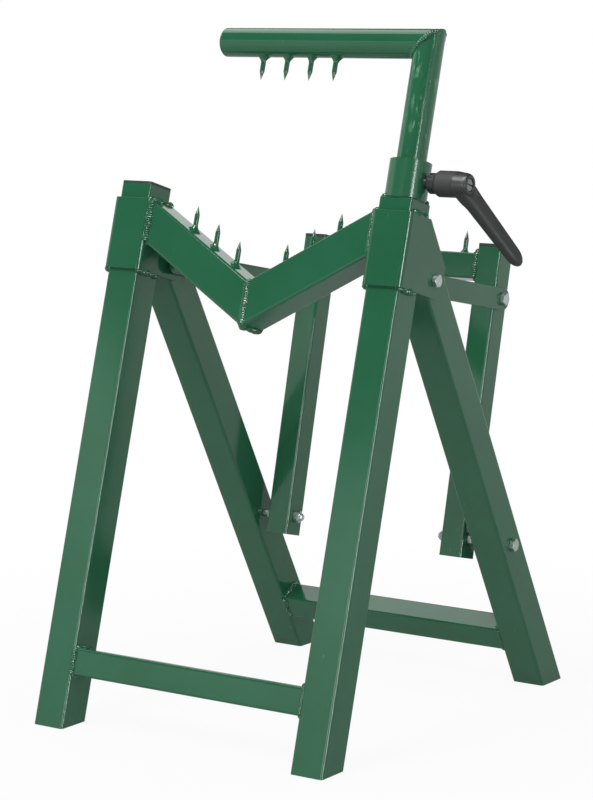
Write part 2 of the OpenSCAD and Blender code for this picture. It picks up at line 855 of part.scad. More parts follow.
front_leg_left();
front_leg_right();
front_brace();
head_bracket_left();
head_bracket_right();
v_arm_left();
v_arm_right();
v_spikes();
v_spike_welds();
leg_cap_left();
clamp_collar();
pivot_bolts();
pivot_spacer_nuts();
pivot_nuts();
rear_leg_left();
rear_leg_right();
rear_brace();
link_bar_left();
link_bar_right();
short_upright_left();
short_upright_right();
upright_cap_left();
upright_cap_right();
rear_bar();
rear_spikes();
rear_spike_welds();
link_bolts();
link_nuts();
strut_bolts();
strut_spacer_nuts();
strut_nuts();
arm_plug();
arm_upright();
arm_bar();
arm_end_cap();
arm_spikes();
arm_spike_welds();
clamp_stud();
lever_insert();
lever_screw();
lever_spring();
lever_handle();
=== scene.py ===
# %% [markdown]
# # Painting and lighting a folding log saw stand
# The stand is welded from square steel tube and sprayed in one gloss green enamel. It arrives
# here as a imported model: every tube, plate and bolt is already a mesh in its right place. This
# file adds what makes steel look welded, painted and used, then lights it and frames it.
# All places are in metres with Z up, but a welder thinks in millimetres, so the helpers
# further down take millimetres and give metres.

import bpy
import numpy as np
from mathutils import Euler, Matrix


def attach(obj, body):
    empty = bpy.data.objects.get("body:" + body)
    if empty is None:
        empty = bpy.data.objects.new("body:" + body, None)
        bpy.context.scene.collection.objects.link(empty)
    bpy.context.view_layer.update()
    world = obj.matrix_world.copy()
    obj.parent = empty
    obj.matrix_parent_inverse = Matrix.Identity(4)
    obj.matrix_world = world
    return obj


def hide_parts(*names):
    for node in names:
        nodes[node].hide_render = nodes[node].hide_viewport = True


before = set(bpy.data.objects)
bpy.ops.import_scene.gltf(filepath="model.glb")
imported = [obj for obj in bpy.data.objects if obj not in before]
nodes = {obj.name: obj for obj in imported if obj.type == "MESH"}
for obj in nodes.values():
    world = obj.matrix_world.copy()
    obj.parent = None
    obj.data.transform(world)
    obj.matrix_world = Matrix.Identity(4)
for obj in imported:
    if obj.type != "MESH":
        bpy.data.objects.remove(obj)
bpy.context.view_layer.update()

# %% [markdown]
# ## The camera
# A product photograph is taken from far off with a long lens, so that upright lines stay
# nearly parallel. The picture's vanishing directions give the angle of view: a lens of 78 mm
# over a picture 24 mm high, from 2.9 m away and a little above. The height of the picture is
# fixed and its width follows, because the picture is taller than it is wide. The angles are
# in degrees: 90 of tilt looks level, a positive heading looks to the left.

# %% Set up the camera
PICTURE_MM, LENS_MM = 24.0, 77.90
TILT, HEADING, ROLL = 81.763, 34.117, 0.164
camera = bpy.data.objects.new("camera", bpy.data.cameras.new("camera"))
bpy.context.scene.collection.objects.link(camera)
bpy.context.scene.camera = camera
camera.data.sensor_fit = "VERTICAL"
camera.data.sensor_height, camera.data.lens = PICTURE_MM, LENS_MM
camera.location = (1.559641, -2.386720, 0.760996)
aim = Euler(np.radians([TILT, 0.0, HEADING]).tolist()).to_matrix()
camera.rotation_euler = (aim @ Matrix.Rotation(np.radians(ROLL), 3, "Z")).to_euler()
print("camera is", round(camera.location.length, 2), "m from the middle of the floor")

# %% [markdown]
# ## Places on leaning parts
# The front legs lean back, the rear legs lean forward and the short uprights lean a little
# back again. Every seam runs along one of them, so its place is easiest to give as three
# numbers: sideways from the middle, depth behind the front face, and height along the tube.
# One function makes such a leaning ruler for each part, as a rotation about X and a shift.
# The model is centred on its whole width, lever included, so the middle of the legs lies
# 42 mm to the left of zero. The uprights' ruler starts at the strut bolt that carries them.

# %% Rulers along the legs and the uprights
MM = 0.001
MID_X = -41.873
LEG_X, LEG_TUBE = 170.0, 40.0
FRONT_LEAN, REAR_LEAN, UPRIGHT_LEAN = 15.7, -29.3, 13.15
STRUT = (131.14, 180.28)


def leaning(foot_y, foot_z, lean):
    """A ruler that starts at (foot_y, foot_z) and leans back by that many degrees.
    It turns (x, depth, up) in mm into a place in metres: depth and up are rotated by the lean."""
    s, c = np.sin(np.radians(lean)), np.cos(np.radians(lean))

    def at(x, depth, up):
        x, depth, up = np.broadcast_arrays(*(np.asarray(v, float) for v in (x, depth, up)))
        place = [MID_X + x, foot_y + up * s + depth * c, foot_z + up * c - depth * s]
        return np.stack(place, axis=-1) * MM

    return at


front = leaning(-255.24, 0, FRONT_LEAN)
rear = leaning(209.37, 0, REAR_LEAN)
upright = leaning(*STRUT, UPRIGHT_LEAN)
print("top of the right front leg:", np.round(front(LEG_X, LEG_TUBE / 2, 606), 3))

# %% [markdown]
# ## Colours and shader nodes
# A colour picked from a photograph is an sRGB hex code, but a shader works in linear light,
# so one function converts it. A second one adds a shader node and fills its sockets in one
# line, which keeps each material short enough to read as a recipe.

# %% Colour and node helpers
def linear(code):
    """Linear colour of an sRGB hex code: c / 12.92 when dark, else ((c + 0.055) / 1.055) ^ 2.4."""
    c = np.array([int(code[i : i + 2], 16) for i in (1, 3, 5)]) / 255
    rgb = np.where(c <= 0.04045, c / 12.92, ((c + 0.055) / 1.055) ** 2.4)
    return (*rgb.tolist(), 1.0)


def add(tree, kind, sockets=(), **settings):
    """Adds one node, then sets its settings and fills its sockets with values or links. A kind
    without the word Node in it is a shader node."""
    node = tree.nodes.new(kind if "Node" in kind else "ShaderNode" + kind)
    for key, value in settings.items():
        setattr(node, key, value)
    for key, value in dict(sockets).items():
        if isinstance(value, bpy.types.NodeSocket):
            tree.links.new(value, node.inputs[key])
        else:
            node.inputs[key].default_value = value
    return node


def finish(name, colour, roughness, metallic=0.0):
    """A new material with plain values on its shader. Patterns are linked in afterwards."""
    material = bpy.data.materials.new(name)
    material.use_nodes = True
    shader = material.node_tree.nodes["Principled BSDF"]
    shader.inputs["Base Color"].default_value = linear(colour)
    shader.inputs["Roughness"].default_value = roughness
    shader.inputs["Metallic"].default_value = metallic
    return material, material.node_tree, shader


def noise(tree, where, per_metre, detail=2.0, stretch=(1, 1, 1)):
    """Noise with that many cells per metre, stretched where a number of stretch is below 1."""
    mapped = add(tree, "Mapping", {"Vector": where, "Scale": stretch}).outputs[0]
    pattern = add(tree, "TexNoise", {"Vector": mapped, "Scale": per_metre, "Detail": detail})
    return pattern.outputs[0]


def span(tree, value, low, high, to_low, to_high):
    """Maps a value from low..high to to_low..to_high and keeps it inside."""
    sockets = {0: value, 1: low, 2: high, 3: to_low, 4: to_high}
    return add(tree, "MapRange", sockets, clamp=True).outputs[0]


def blend(tree, share, one, other):
    """Mixes two colours, which may be hex codes or sockets."""
    pair = [linear(c) if isinstance(c, str) else c for c in (one, other)]
    mixed = add(tree, "Mix", {0: share, 6: pair[0], 7: pair[1]}, data_type="RGBA")
    return mixed.outputs[2]


def relief(tree, shader, height, depth_mm):
    """Raises and lowers the surface by a pattern, as a bump of that depth."""
    bump = add(tree, "Bump", {"Height": height, "Distance": depth_mm * MM, "Strength": 1.0})
    tree.links.new(bump.outputs[0], shader.inputs["Normal"])


print("colour helper: #808080 is", round(linear("#808080")[0], 3), "in linear light")

# %% [markdown]
# ## Gloss enamel
# Enamel sprayed on tube is deep green, smooth and glossy. Four things keep it from looking
# like plastic: the coat is a little thicker in some places, so the green drifts between two
# close tones; it flowed before it set, so reflections bend over waves about 15 mm long; the
# drawn tube under it has fine lines along its length, which smear a reflection across; and
# handling leaves a few short scratches, paler and duller than the paint. Each is a noise
# pattern in real millimetres, read from Object coordinates so that it stays on its tube when
# the stand moves. The lines follow the tube, so the front legs, the rear legs and the clamp
# arm each turn the pattern to their lean, and the tubes that run across have it sideways.
# The clamp arm and its collar slide and turn on each other: fine rings run round them, the
# collar's gloss is duller, and the arm has many more scratches.

# %% Enamel for the tubes, the welds and the clamp arm
GREEN = ("#266344", "#29684a")
RUBBED_GREEN = ("#276545", "#2a6a4b")
WELD_GREEN = ("#256243", "#2b6b4b")
SCRATCHED_PAINT, SCRATCH_SHARE, SCRATCH_DULL = "#5f9f7a", 0.6, 0.2
ALONG, ACROSS, AROUND = (1, 1, 0.012), (0.012, 1, 1), (0.05, 0.05, 1)
CLOUDS_PER_M, LINES_PER_M, PATCHES_PER_M = 14, 420, 60


def enamel(name, greens, wave_mm=0.03, lean=0.0, dull=0.12, lines_mm=0.01, scratch=0.72,
           grain=ALONG, waves=65):
    """Gloss enamel: two greens drift in clouds, waves and lines bend the gloss, and where the
    scratch pattern passes its limit the paint is paler and duller. Grain stretches the lines.
    The height is wave_mm (waves + lines_mm / wave_mm lines), both patterns from 0 to 1."""
    material, tree, shader = finish(name, greens[0], dull)
    where = add(tree, "TexCoord").outputs["Object"]
    turn = {"Vector": where, "Rotation": (float(np.radians(lean)), 0, 0)}
    along = add(tree, "Mapping", turn).outputs[0]
    clouds = span(tree, noise(tree, where, CLOUDS_PER_M), 0.3, 0.7, 0, 1)
    green = blend(tree, clouds, *greens)
    streaks = noise(tree, along, LINES_PER_M, 3, (1, 1, 0.15))
    streaks = span(tree, streaks, scratch, scratch + 0.06, 0, SCRATCH_SHARE)
    patches = span(tree, noise(tree, where, PATCHES_PER_M), 0.5, 0.62, 0, 1)
    worn = add(tree, "Math", {0: streaks, 1: patches}, operation="MULTIPLY").outputs[0]
    tree.links.new(blend(tree, worn, green, SCRATCHED_PAINT), shader.inputs["Base Color"])
    duller = span(tree, worn, 0, SCRATCH_SHARE, dull, dull + SCRATCH_DULL)
    tree.links.new(duller, shader.inputs["Roughness"])
    lines = noise(tree, along, LINES_PER_M, 2, grain)
    both = {0: lines, 1: lines_mm / wave_mm, 2: noise(tree, where, waves, 1)}
    relief(tree, shader, add(tree, "Math", both, operation="MULTIPLY_ADD").outputs[0], wave_mm)
    return material


frame_enamel = enamel("green_gloss_enamel", GREEN, lean=FRONT_LEAN)
rear_enamel = enamel("green_gloss_enamel_rear", GREEN, lean=REAR_LEAN)
cross_enamel = enamel("green_gloss_enamel_cross", GREEN, grain=ACROSS)
weld_enamel = enamel("green_enamel_on_weld", WELD_GREEN, wave_mm=0.35, dull=0.06, waves=380)
arm_enamel = enamel("green_enamel_rubbed", RUBBED_GREEN, lean=FRONT_LEAN, dull=0.14,
                    lines_mm=0.02, scratch=0.52, grain=AROUND)
collar_enamel = enamel("green_enamel_on_turned_collar", RUBBED_GREEN, lean=FRONT_LEAN, dull=0.18,
                       lines_mm=0.05, scratch=0.7, grain=AROUND)
print("green for the tubes:", *GREEN, "for the beads:", *WELD_GREEN, "for the arm:", *RUBBED_GREEN)

# %% [markdown]
# ## Black plastic, blackened steel and zinc
# The caps are moulded with a fine grain that scatters light, so they look dark grey. The lever
# is textured in the same way but has worn smoother where hands turn it. The neck is blackened
# steel with fine turning lines, the slotted screw is plain turned steel, and the bolts are
# zinc plated: bright, slightly blue, cloudy in roughness where the plating is thicker.

# %% Plastic and metal finishes
POLISH_GAIN = 0.24
DRIFT_PER_M, GRAIN_PER_M, PLATING_PER_M, TURNING_PER_M = 40, 900, 180, 1500


def moulded(name, colour, roughness, grain_mm):
    """Moulded plastic: a fine grain as relief and a slow drift in roughness, which falls where
    the piece carries a worn attribute."""
    material, tree, shader = finish(name, colour, roughness)
    where = add(tree, "TexCoord").outputs["Object"]
    drift = noise(tree, where, DRIFT_PER_M)
    drift = span(tree, drift, 0.3, 0.7, roughness - 0.06, roughness + 0.06)
    polish = add(tree, "Attribute", attribute_name="worn").outputs["Fac"]
    smoother = {0: polish, 1: -POLISH_GAIN, 2: drift}
    smoother = add(tree, "Math", smoother, operation="MULTIPLY_ADD").outputs[0]
    tree.links.new(smoother, shader.inputs["Roughness"])
    relief(tree, shader, noise(tree, where, GRAIN_PER_M, 2), grain_mm)
    return material


def turned_metal(name, colour, pale, roughness, lines_mm, metallic=1.0):
    """Turned or plated metal: clouds between two tones and fine lines along X as relief."""
    material, tree, shader = finish(name, colour, roughness, metallic)
    where = add(tree, "TexCoord").outputs["Object"]
    cloud = span(tree, noise(tree, where, PLATING_PER_M, 3), 0.35, 0.65, 0, 1)
    tree.links.new(blend(tree, cloud, colour, pale), shader.inputs["Base Color"])
    haze = span(tree, cloud, 0, 1, roughness * 0.8, roughness * 1.3)
    tree.links.new(haze, shader.inputs["Roughness"])
    relief(tree, shader, noise(tree, where, TURNING_PER_M, 1, (1, 0.05, 0.05)), lines_mm)
    return material


cap_plastic = moulded("black_cap_plastic", "#2f3233", 0.45, 0.006)
guide_plastic = moulded("black_guide_plastic", "#232324", 0.5, 0.02)
lever_plastic = moulded("black_lever_texture", "#2a2e2d", 0.64, 0.03)
blackened_steel = turned_metal("blackened_turned_steel", "#2a2c2e", "#34373a", 0.35, 0.01, 0.3)
screw_steel = turned_metal("turned_screw_steel", "#7d7f80", "#8b8d8e", 0.4, 0.01)
spring_steel = turned_metal("bright_spring_wire", "#a9abac", "#b7b9ba", 0.3, 0.005)
zinc = turned_metal("bright_zinc_plate", "#a9b9b4", "#bdcac5", 0.38, 0.001)
print("plastics:", cap_plastic.name, guide_plastic.name, lever_plastic.name)
print("metals:", blackened_steel.name, screw_steel.name, spring_steel.name, zinc.name)

# %% [markdown]
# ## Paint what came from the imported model
# Most pieces take the enamel of the front frame, so the list below names only the others: the
# tubes that need its lines turned another way, and what is plastic, steel or zinc plated.

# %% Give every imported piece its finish
OTHER_FINISHES = {
    cap_plastic: ["leg_cap_left", "upright_cap_left", "upright_cap_right"],
    guide_plastic: ["arm_plug"],
    lever_plastic: ["lever_handle"],
    blackened_steel: ["clamp_stud", "lever_insert"],
    screw_steel: ["lever_screw"],
    spring_steel: ["lever_spring"],
    zinc: ["pivot_bolts", "pivot_nuts", "pivot_spacer_nuts", "link_bolts", "link_nuts",
           "strut_bolts", "strut_nuts", "strut_spacer_nuts"],
    weld_enamel: ["v_spike_welds", "arm_spike_welds", "rear_spike_welds"],
    arm_enamel: ["arm_upright"],
    collar_enamel: ["clamp_collar"],
    rear_enamel: ["rear_leg_left", "rear_leg_right"],
    cross_enamel: ["arm_bar", "arm_end_cap", "v_arm_left", "v_arm_right", "front_brace",
                   "rear_brace", "rear_bar"],
}
finish_of = {name: m for m, names in OTHER_FINISHES.items() for name in names}
for name, node in nodes.items():
    for place in node.material_slots:
        place.material = finish_of.get(name, frame_enamel)
print(len(nodes) - len(finish_of), "pieces take the front frame's enamel")

# %% [markdown]
# ## Rounded corners and softened edges
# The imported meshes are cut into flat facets, and a rolled tube's corner would show them. A
# small geometry tree welds the facets, throws away their stored normals and shades smooth
# wherever two faces meet at less than 30 degrees. Facets within half a degree of each other
# are then joined, and every edge over 50 degrees gets a rounding of a third of a millimetre:
# sheared plate and sawn tube are deburred before painting, and that tiny round is what draws
# a bright line along an edge.
# Last, every corner's normal follows the larger face beside it, so that flat faces stay flat.

# %% Smooth the tubes and soften the edges
MERGE_M, CREASE_DEG, FLAT_DEG, ROUNDED_DEG = 1e-5, 30, 0.5, 50
EDGE_MM = 0.35
OTHER_EDGE_MM = {"clamp_collar": 0.6, "lever_screw": 0.25, "lever_insert": 0.3}


def merge_and_smooth():
    """A geometry tree: merge at 0.01 mm, drop stored normals, smooth faces, then mark the
    edges whose faces meet at more than 30 degrees as sharp."""
    tree = bpy.data.node_groups.new("merge_and_smooth", "GeometryNodeTree")
    for way in ("INPUT", "OUTPUT"):
        tree.interface.new_socket("Geometry", in_out=way, socket_type="NodeSocketGeometry")
    shape = add(tree, "NodeGroupInput").outputs[0]
    near = {"Geometry": shape, "Distance": MERGE_M}
    shape = add(tree, "GeometryNodeMergeByDistance", near).outputs[0]
    stored = {"Geometry": shape, "Name": "custom_normal"}
    shape = add(tree, "GeometryNodeRemoveAttribute", stored).outputs[0]
    shape = add(tree, "GeometryNodeSetShadeSmooth", {"Geometry": shape}).outputs[0]
    bend = add(tree, "GeometryNodeInputMeshEdgeAngle").outputs[0]
    bend = {0: bend, 1: float(np.radians(CREASE_DEG))}
    steep = add(tree, "FunctionNodeCompare", bend, operation="GREATER_THAN").outputs[0]
    creased = {"Geometry": shape, "Selection": steep, "Shade Smooth": False}
    shape = add(tree, "GeometryNodeSetShadeSmooth", creased, domain="EDGE").outputs[0]
    add(tree, "NodeGroupOutput", {0: shape})
    return tree


smooth_tree = merge_and_smooth()
for name, node in nodes.items():
    node.modifiers.new("merge_and_smooth", "NODES").node_group = smooth_tree
    flat = node.modifiers.new("join_flat_facets", "DECIMATE")
    flat.decimate_type, flat.angle_limit = "DISSOLVE", float(np.radians(FLAT_DEG))
    soft = node.modifiers.new("soft_edges", "BEVEL")
    soft.width, soft.segments = OTHER_EDGE_MM.get(name, EDGE_MM) * MM, 2
    soft.limit_method, soft.angle_limit = "ANGLE", float(np.radians(ROUNDED_DEG))
    node.modifiers.new("flat_faces_stay_flat", "WEIGHTED_NORMAL").keep_sharp = True
print("edges are rounded by", sorted({EDGE_MM, *OTHER_EDGE_MM.values()}), "mm")

# %% [markdown]
# ## New surfaces from rings
# Everything modelled here is a skin over rings of points: a weld bead is a circle carried
# along a seam, a bolt is a hexagon and circles carried along its axis. The rings come as one
# array, the faces follow from the ring and point numbers, and the sign of the enclosed
# volume tells whether the faces look outwards.

# %% Skin over rings, and a piece from several skins
def skin(rings, loop=False):
    """Joins rings of points, shaped (rings, points, 3), by quads. The ends close in a pole at
    their middle, or with loop the last ring joins the first, as in a nut."""
    n, m, _ = rings.shape
    points = rings.reshape(-1, 3)
    i, k = np.meshgrid(np.arange(n if loop else n - 1), np.arange(m), indexing="ij")
    j, nxt = (i + 1) % n, (k + 1) % m
    quads = np.stack([i * m + k, j * m + k, j * m + nxt, i * m + nxt], -1).reshape(-1, 4)
    tris = np.empty((0, 3), int)
    if not loop:
        points = np.concatenate([points, rings[0].mean(0)[None], rings[-1].mean(0)[None]])
        k, last = np.arange(m), (n - 1) * m
        first_fan = np.stack([np.full(m, n * m), k, (k + 1) % m], -1)
        last_fan = np.stack([np.full(m, n * m + 1), last + (k + 1) % m, last + k], -1)
        tris = np.concatenate([first_fan, last_fan])
    all_tris = np.concatenate([quads[:, [0, 1, 2]], quads[:, [0, 2, 3]], tris])
    a, b, c = (points[all_tris[:, q]] - points.mean(0) for q in range(3))
    if np.einsum("ij,ij->", a, np.cross(b, c)) < 0:
        quads, tris = quads[:, ::-1], tris[:, ::-1]
    return points, quads, tris


def piece(name, skins, material, body, stands_for=(), sharp=40):
    """Makes one object from several skins, smooth except at edges over sharp degrees."""
    points, faces, start = [], [], 0
    for p, quads, tris in skins:
        points.append(p)
        faces += (quads + start).tolist() + (tris + start).tolist()
        start += len(p)
    mesh = bpy.data.meshes.new(name)
    mesh.from_pydata(np.concatenate(points).tolist(), [], faces)
    mesh.polygons.foreach_set("use_smooth", np.ones(len(faces), bool))
    mesh.set_sharp_from_angle(angle=np.radians(sharp))
    mesh.materials.append(material)
    thing = bpy.data.objects.new(name, mesh)
    bpy.context.scene.collection.objects.link(thing)
    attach(thing, body)
    if stands_for:
        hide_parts(*stands_for)
    print(name, "has", len(faces), "faces")
    return thing


# %% [markdown]
# ## Weld beads
# A weld is laid as a row of overlapping puddles, so a bead is a round section whose radius
# swells and dips as it goes, with ripples that curve like scales. The ripple follows the
# length along the seam, shifted by the cosine of the angle round the bead, which bends each
# ripple into an arc. Slow swells keep two beads from looking the same, and each end closes
# as half a ball. The section is set square to the seam with the help of one direction that
# no seam follows.

# %% The weld bead
ALONG_NO_SEAM = [0.35, 0.48, 0.80]


def bead(path, radius, seed=0.0, lumps=0.16, pitch=2.6, sides=16, step=0.4):
    """A bead along a path in metres; the other sizes are in mm. At length s and angle t round
    it, the radius is R (1 + lumps (4 p (1 - p) - 0.5 + swell)), where p is the fraction of
    s / pitch + 0.35 cos t + seed, and swell is 0.6 sin(s / 3.7 + 5 seed) + 0.5 sin(s / 1.9 +
    2 t + 9 seed). Over the last R at each end it is times sqrt(1 - (1 - end) ^ 2)."""
    leg = np.concatenate([[0], np.cumsum(np.linalg.norm(np.diff(path, axis=0), axis=1))]) / MM
    s = np.linspace(0, leg[-1], max(8, int(leg[-1] / step)))
    middle = np.stack([np.interp(s, leg, path[:, axis]) for axis in range(3)], -1)
    ahead = np.gradient(middle, axis=0)
    ahead /= np.linalg.norm(ahead, axis=1, keepdims=True)
    across = np.cross(ahead, ALONG_NO_SEAM)
    across /= np.linalg.norm(across, axis=1, keepdims=True)
    up = np.cross(ahead, across)
    t = np.arange(sides) * 2 * np.pi / sides
    s, t = s[:, None], t[None, :]
    phase = (s / pitch + 0.35 * np.cos(t) + seed) % 1
    swell = 0.6 * np.sin(s / 3.7 + 5 * seed) + 0.5 * np.sin(s / 1.9 + 2 * t + 9 * seed)
    end = np.clip(np.minimum(s, s.max() - s) / radius, 0, 1)
    size = radius * (1 + lumps * (4 * phase * (1 - phase) - 0.5 + swell))
    size = size * np.sqrt(1 - (1 - end) ** 2)
    offset = across[:, None] * np.cos(t)[..., None] + up[:, None] * np.sin(t)[..., None]
    return skin(middle[:, None] + offset * size[..., None] * MM)


def seam(at, x, depth, up, radius, seed=0.0, lumps=0.16):
    """A bead along a straight seam. Each of x, depth and up is one number or (from, to)."""
    ends = [np.linspace(*v, 24) if np.ndim(v) else np.full(24, float(v)) for v in (x, depth, up)]
    return bead(at(*ends), radius, seed, lumps)


print("a 30 mm seam has", len(seam(front, 0, 0, (0, 30), 3)[1]), "quads")

# %% [markdown]
# ## Welds of the front frame
# The V's two arms meet in a mitre, and each arm's outer end is welded all round to the bent
# bracket plate. The plate itself is welded to its leg along the top and bottom edges of both
# cheeks, the brace all round at both ends, and the collar by three dabs on the leg's corners.
# The bead between the left arm and its bracket was laid fast and is lumpy; the one on the
# right lies nearly flush in a groove. Both braces have a thick bead at their left end and a
# thin one at their right end. Each bead's middle is sunk in the corner it fills, so its places
# stand a little off the edges of the tubes named here.

# %% Weld the front frame
V_TOP, V_BOTTOM, V_END = 507.4, 457.7, 145.7
V_END_LOW, V_END_TOP = 542.2, 591.0
BRACKET_TOP, BRACKET_LOW = 591.5, 511.5
CHEEK_IN, CHEEK_OUT, LEG_FACE = 148.9, 191.4, 149.8
FRONT_BRACE, BRACE_DEEP = (60, 90), 29.8
COLLAR_LOW, COLLAR_DAB_R, DAB_TURNS = 606.8, 22.6, (45, 135, 225)


def brace_end(at, side, span_up, seeds):
    """Four beads round one end of a brace: front, back, top and bottom. The front one is
    thick and lumpy on the left and thin on the right."""
    low, top = span_up
    left, face = side < 0, side * LEG_FACE
    return [
        seam(at, side * (LEG_FACE + 0.1 - 0.5 * left), 0.9 - 0.5 * left, span_up, 2 + 1.2 * left,
             seeds[0], 0.12 + 0.16 * left),
        seam(at, face, BRACE_DEEP, span_up, 2.6, seeds[1]),
        seam(at, face - 0.2 * side, (1, 30), top + 0.4, 3.2, seeds[2], 0.25),
        seam(at, face, (1, 30), low - 0.2, 2.8, seeds[3]),
    ]


front_welds = [
    seam(front, 0, 3.1, (V_BOTTOM - 1, V_TOP + 1), 5.0, 0.1, 0.09),
    seam(front, 0, 39.1, (V_BOTTOM, V_TOP), 2.6, 0.4),
    seam(front, 0, (2, 38), V_TOP + 0.2, 3.0, 0.6),
    seam(front, 0, (1, 40), V_BOTTOM + 0.6, 3.6, 0.2, 0.2),
    seam(front, -V_END + 1.4, 0.6, (543, 590), 3.9, 0.3, 0.3),
    seam(front, -V_END + 0.6, (2, 39), V_END_TOP + 0.2, 3.2, 0.8, 0.25),
    seam(front, V_END - 0.4, 2.0, (545, 589), 3.2, 0.5, 0.10),
    seam(front, V_END - 0.6, (1, 39), V_END_TOP, 2.6, 0.4),
]
for side in (-1, 1):
    arm_x, mark = side * (V_END - 0.6), 0.3 + 0.2 * side
    front_welds += [
        seam(front, arm_x, LEG_TUBE - 0.2, (544, 590), 3.2, mark + 0.2),
        seam(front, arm_x, (1, 39), V_END_LOW, 3.0, mark + 0.5, 0.2),
        seam(front, side * CHEEK_OUT, (6, 34), BRACKET_TOP + 0.8, 3.0, mark + 0.7, 0.3),
        seam(front, side * CHEEK_OUT, (-1, 32), BRACKET_LOW - 0.8, 3.1, mark + 0.1, 0.3),
        seam(front, side * CHEEK_IN, (0, 38), BRACKET_TOP + 0.4, 2.9, mark + 0.9, 0.25),
        seam(front, side * CHEEK_IN, (-2, 38), BRACKET_LOW - 0.6, 3.2, mark + 0.6, 0.3),
        *brace_end(front, side, FRONT_BRACE, [mark + 0.2, mark + 0.4, mark + 0.8, mark + 0.3]),
    ]
for turn in DAB_TURNS:
    a = np.radians(turn + np.linspace(-15, 15, 12))
    arc = [LEG_X + COLLAR_DAB_R * np.cos(a), LEG_TUBE / 2 + COLLAR_DAB_R * np.sin(a), COLLAR_LOW]
    front_welds.append(bead(front(*arc), 2.9, turn / 90))
piece("front_frame_welds", front_welds, weld_enamel, "front_frame")

# %% [markdown]
# ## Welds of the rear frame
# The rear brace is welded all round at both ends, and so is the bar between the uprights.
# The bar stands flush with the uprights' faces, so its beads lie flat there.

# %% Weld the rear frame
REAR_BRACE, BAR_END = (48, 78), 104.0
BAR_LOW, BAR_TOP, BAR_DEEP = 297.0, 327.0, (-14, 14)
rear_welds = []
for side in (-1, 1):
    mark, end = 0.45 + 0.25 * side, side * BAR_END
    rear_welds += [
        *brace_end(rear, side, REAR_BRACE, [mark, mark + 0.2, mark + 0.7, mark + 0.4]),
        seam(upright, end, BAR_DEEP[0] + 0.4, (BAR_LOW, BAR_TOP + 2), 3.3, mark + 0.3, 0.25),
        seam(upright, end + 0.6 * side, BAR_DEEP[1], (BAR_LOW, BAR_TOP), 2.4, mark + 0.5),
        seam(upright, end - 0.2 * side, BAR_DEEP, BAR_TOP + 0.6, 3.9, mark + 0.6, 0.2),
        seam(upright, end + 0.4 * side, BAR_DEEP, BAR_LOW - 0.4, 2.8, mark + 0.1),
    ]
piece("rear_frame_welds", rear_welds, weld_enamel, "rear_frame")

# %% [markdown]
# ## The elbow weld of the clamp arm
# Two round tubes cut at 45 degrees meet in an ellipse: going round the upright tube, the seam
# rises by as much as it goes sideways. At the outer corner the bead was ground nearly flush,
# so its path is drawn in there.

# %% Weld the elbow
ARM_R, ARM_BAR_UP, DRAWN_IN = 16, 775, 3.1
turns = np.linspace(0, 2 * np.pi, 120)
out = ARM_R - DRAWN_IN * np.maximum(np.sin(turns), 0)
deep = LEG_TUBE / 2 + ARM_R * np.cos(turns)
elbow = front(LEG_X + out * np.sin(turns), deep, ARM_BAR_UP + out * np.sin(turns))
piece("arm_elbow_weld", [bead(elbow, 2.5, 0.2, 0.22)], weld_enamel, "clamp_arm")

# %% [markdown]
# ## Spikes in lumpy fillets
# Each spike is held by a fillet that climbs it like wax round a candle. It is a surface of
# revolution whose radius falls with height, pushed in and out by sines of the angle so that
# no two look turned on a lathe. Its rim follows what the spike stands on: a slope on the V,
# a round tube under the arm, a flat top on the rear bar.

# %% Fillets round the spikes
SPIKE_R, FILLET_OUT, FILLET_UP = 2.65, 4.0, 6.5
V_SPIKES, V_SLOPE_DEG = [-94.5, -63.0, -31.5, 31.5, 63.0, 94.5], 30
ARM_SPIKES, REAR_SPIKES = [56, 24.5, -7, -38.5], [-80, 80]


def fillet(at, foot, rise, ground, seed):
    """The fillet of one spike in mm, at foot = (x, depth, up), standing up for rise 1 and down
    for -1. At share h of the height and angle t, the radius is the spike's own plus
    4 (1 - h) ^ 1.9 (1 + 0.2 sin(2 t + 7 seed) + 0.1 sin(5 t + 11 seed)), and the height is
    6.5 h (1 + 0.12 sin(3 t + 5 seed)); ground(dx, dd) is the surface below."""
    h = np.concatenate([[-0.25], np.linspace(0, 1, 14)])[:, None]
    t = np.linspace(0, 2 * np.pi, 32, endpoint=False)[None, :]
    lumps = 1 + 0.20 * np.sin(2 * t + 7 * seed) + 0.10 * np.sin(5 * t + 11 * seed)
    out = SPIKE_R + FILLET_OUT * (1 - np.clip(h, 0, 1)) ** 1.9 * lumps
    dx, dd = out * np.cos(t), out * np.sin(t)
    climb = FILLET_UP * h * (1 + 0.12 * np.sin(3 * t + 5 * seed))
    return skin(at(foot[0] + dx, foot[1] + dd, foot[2] + ground(dx, dd) + rise * climb))


v_fillets = []
for n, x in enumerate(V_SPIKES):
    slope = np.sign(x) * np.tan(np.radians(V_SLOPE_DEG))
    foot = (x, LEG_TUBE / 2, V_TOP + x * slope)
    v_fillets.append(fillet(front, foot, 1, lambda dx, dd: dx * slope, n * 0.37))
piece("v_spike_fillets", v_fillets, weld_enamel, "front_frame", ["v_spike_welds"])


def tube_underside(dx, dd):
    """Height of a round tube's underside above its lowest line: R - sqrt(R ^ 2 - dd ^ 2)."""
    return ARM_R - np.sqrt(ARM_R**2 - dd**2) + 0 * dx


arm_fillets = [
    fillet(front, (x, LEG_TUBE / 2, ARM_BAR_UP - ARM_R), -1, tube_underside, n * 0.61)
    for n, x in enumerate(ARM_SPIKES)
]
piece("arm_spike_fillets", arm_fillets, weld_enamel, "clamp_arm", ["arm_spike_welds"])
rear_fillets = [
    fillet(upright, (x, 0, BAR_TOP), 1, lambda dx, dd: 0 * dx, 0.2 + x) for x in REAR_SPIKES
]
piece("rear_spike_fillets", rear_fillets, weld_enamel, "rear_frame",
      ["rear_spike_welds"])

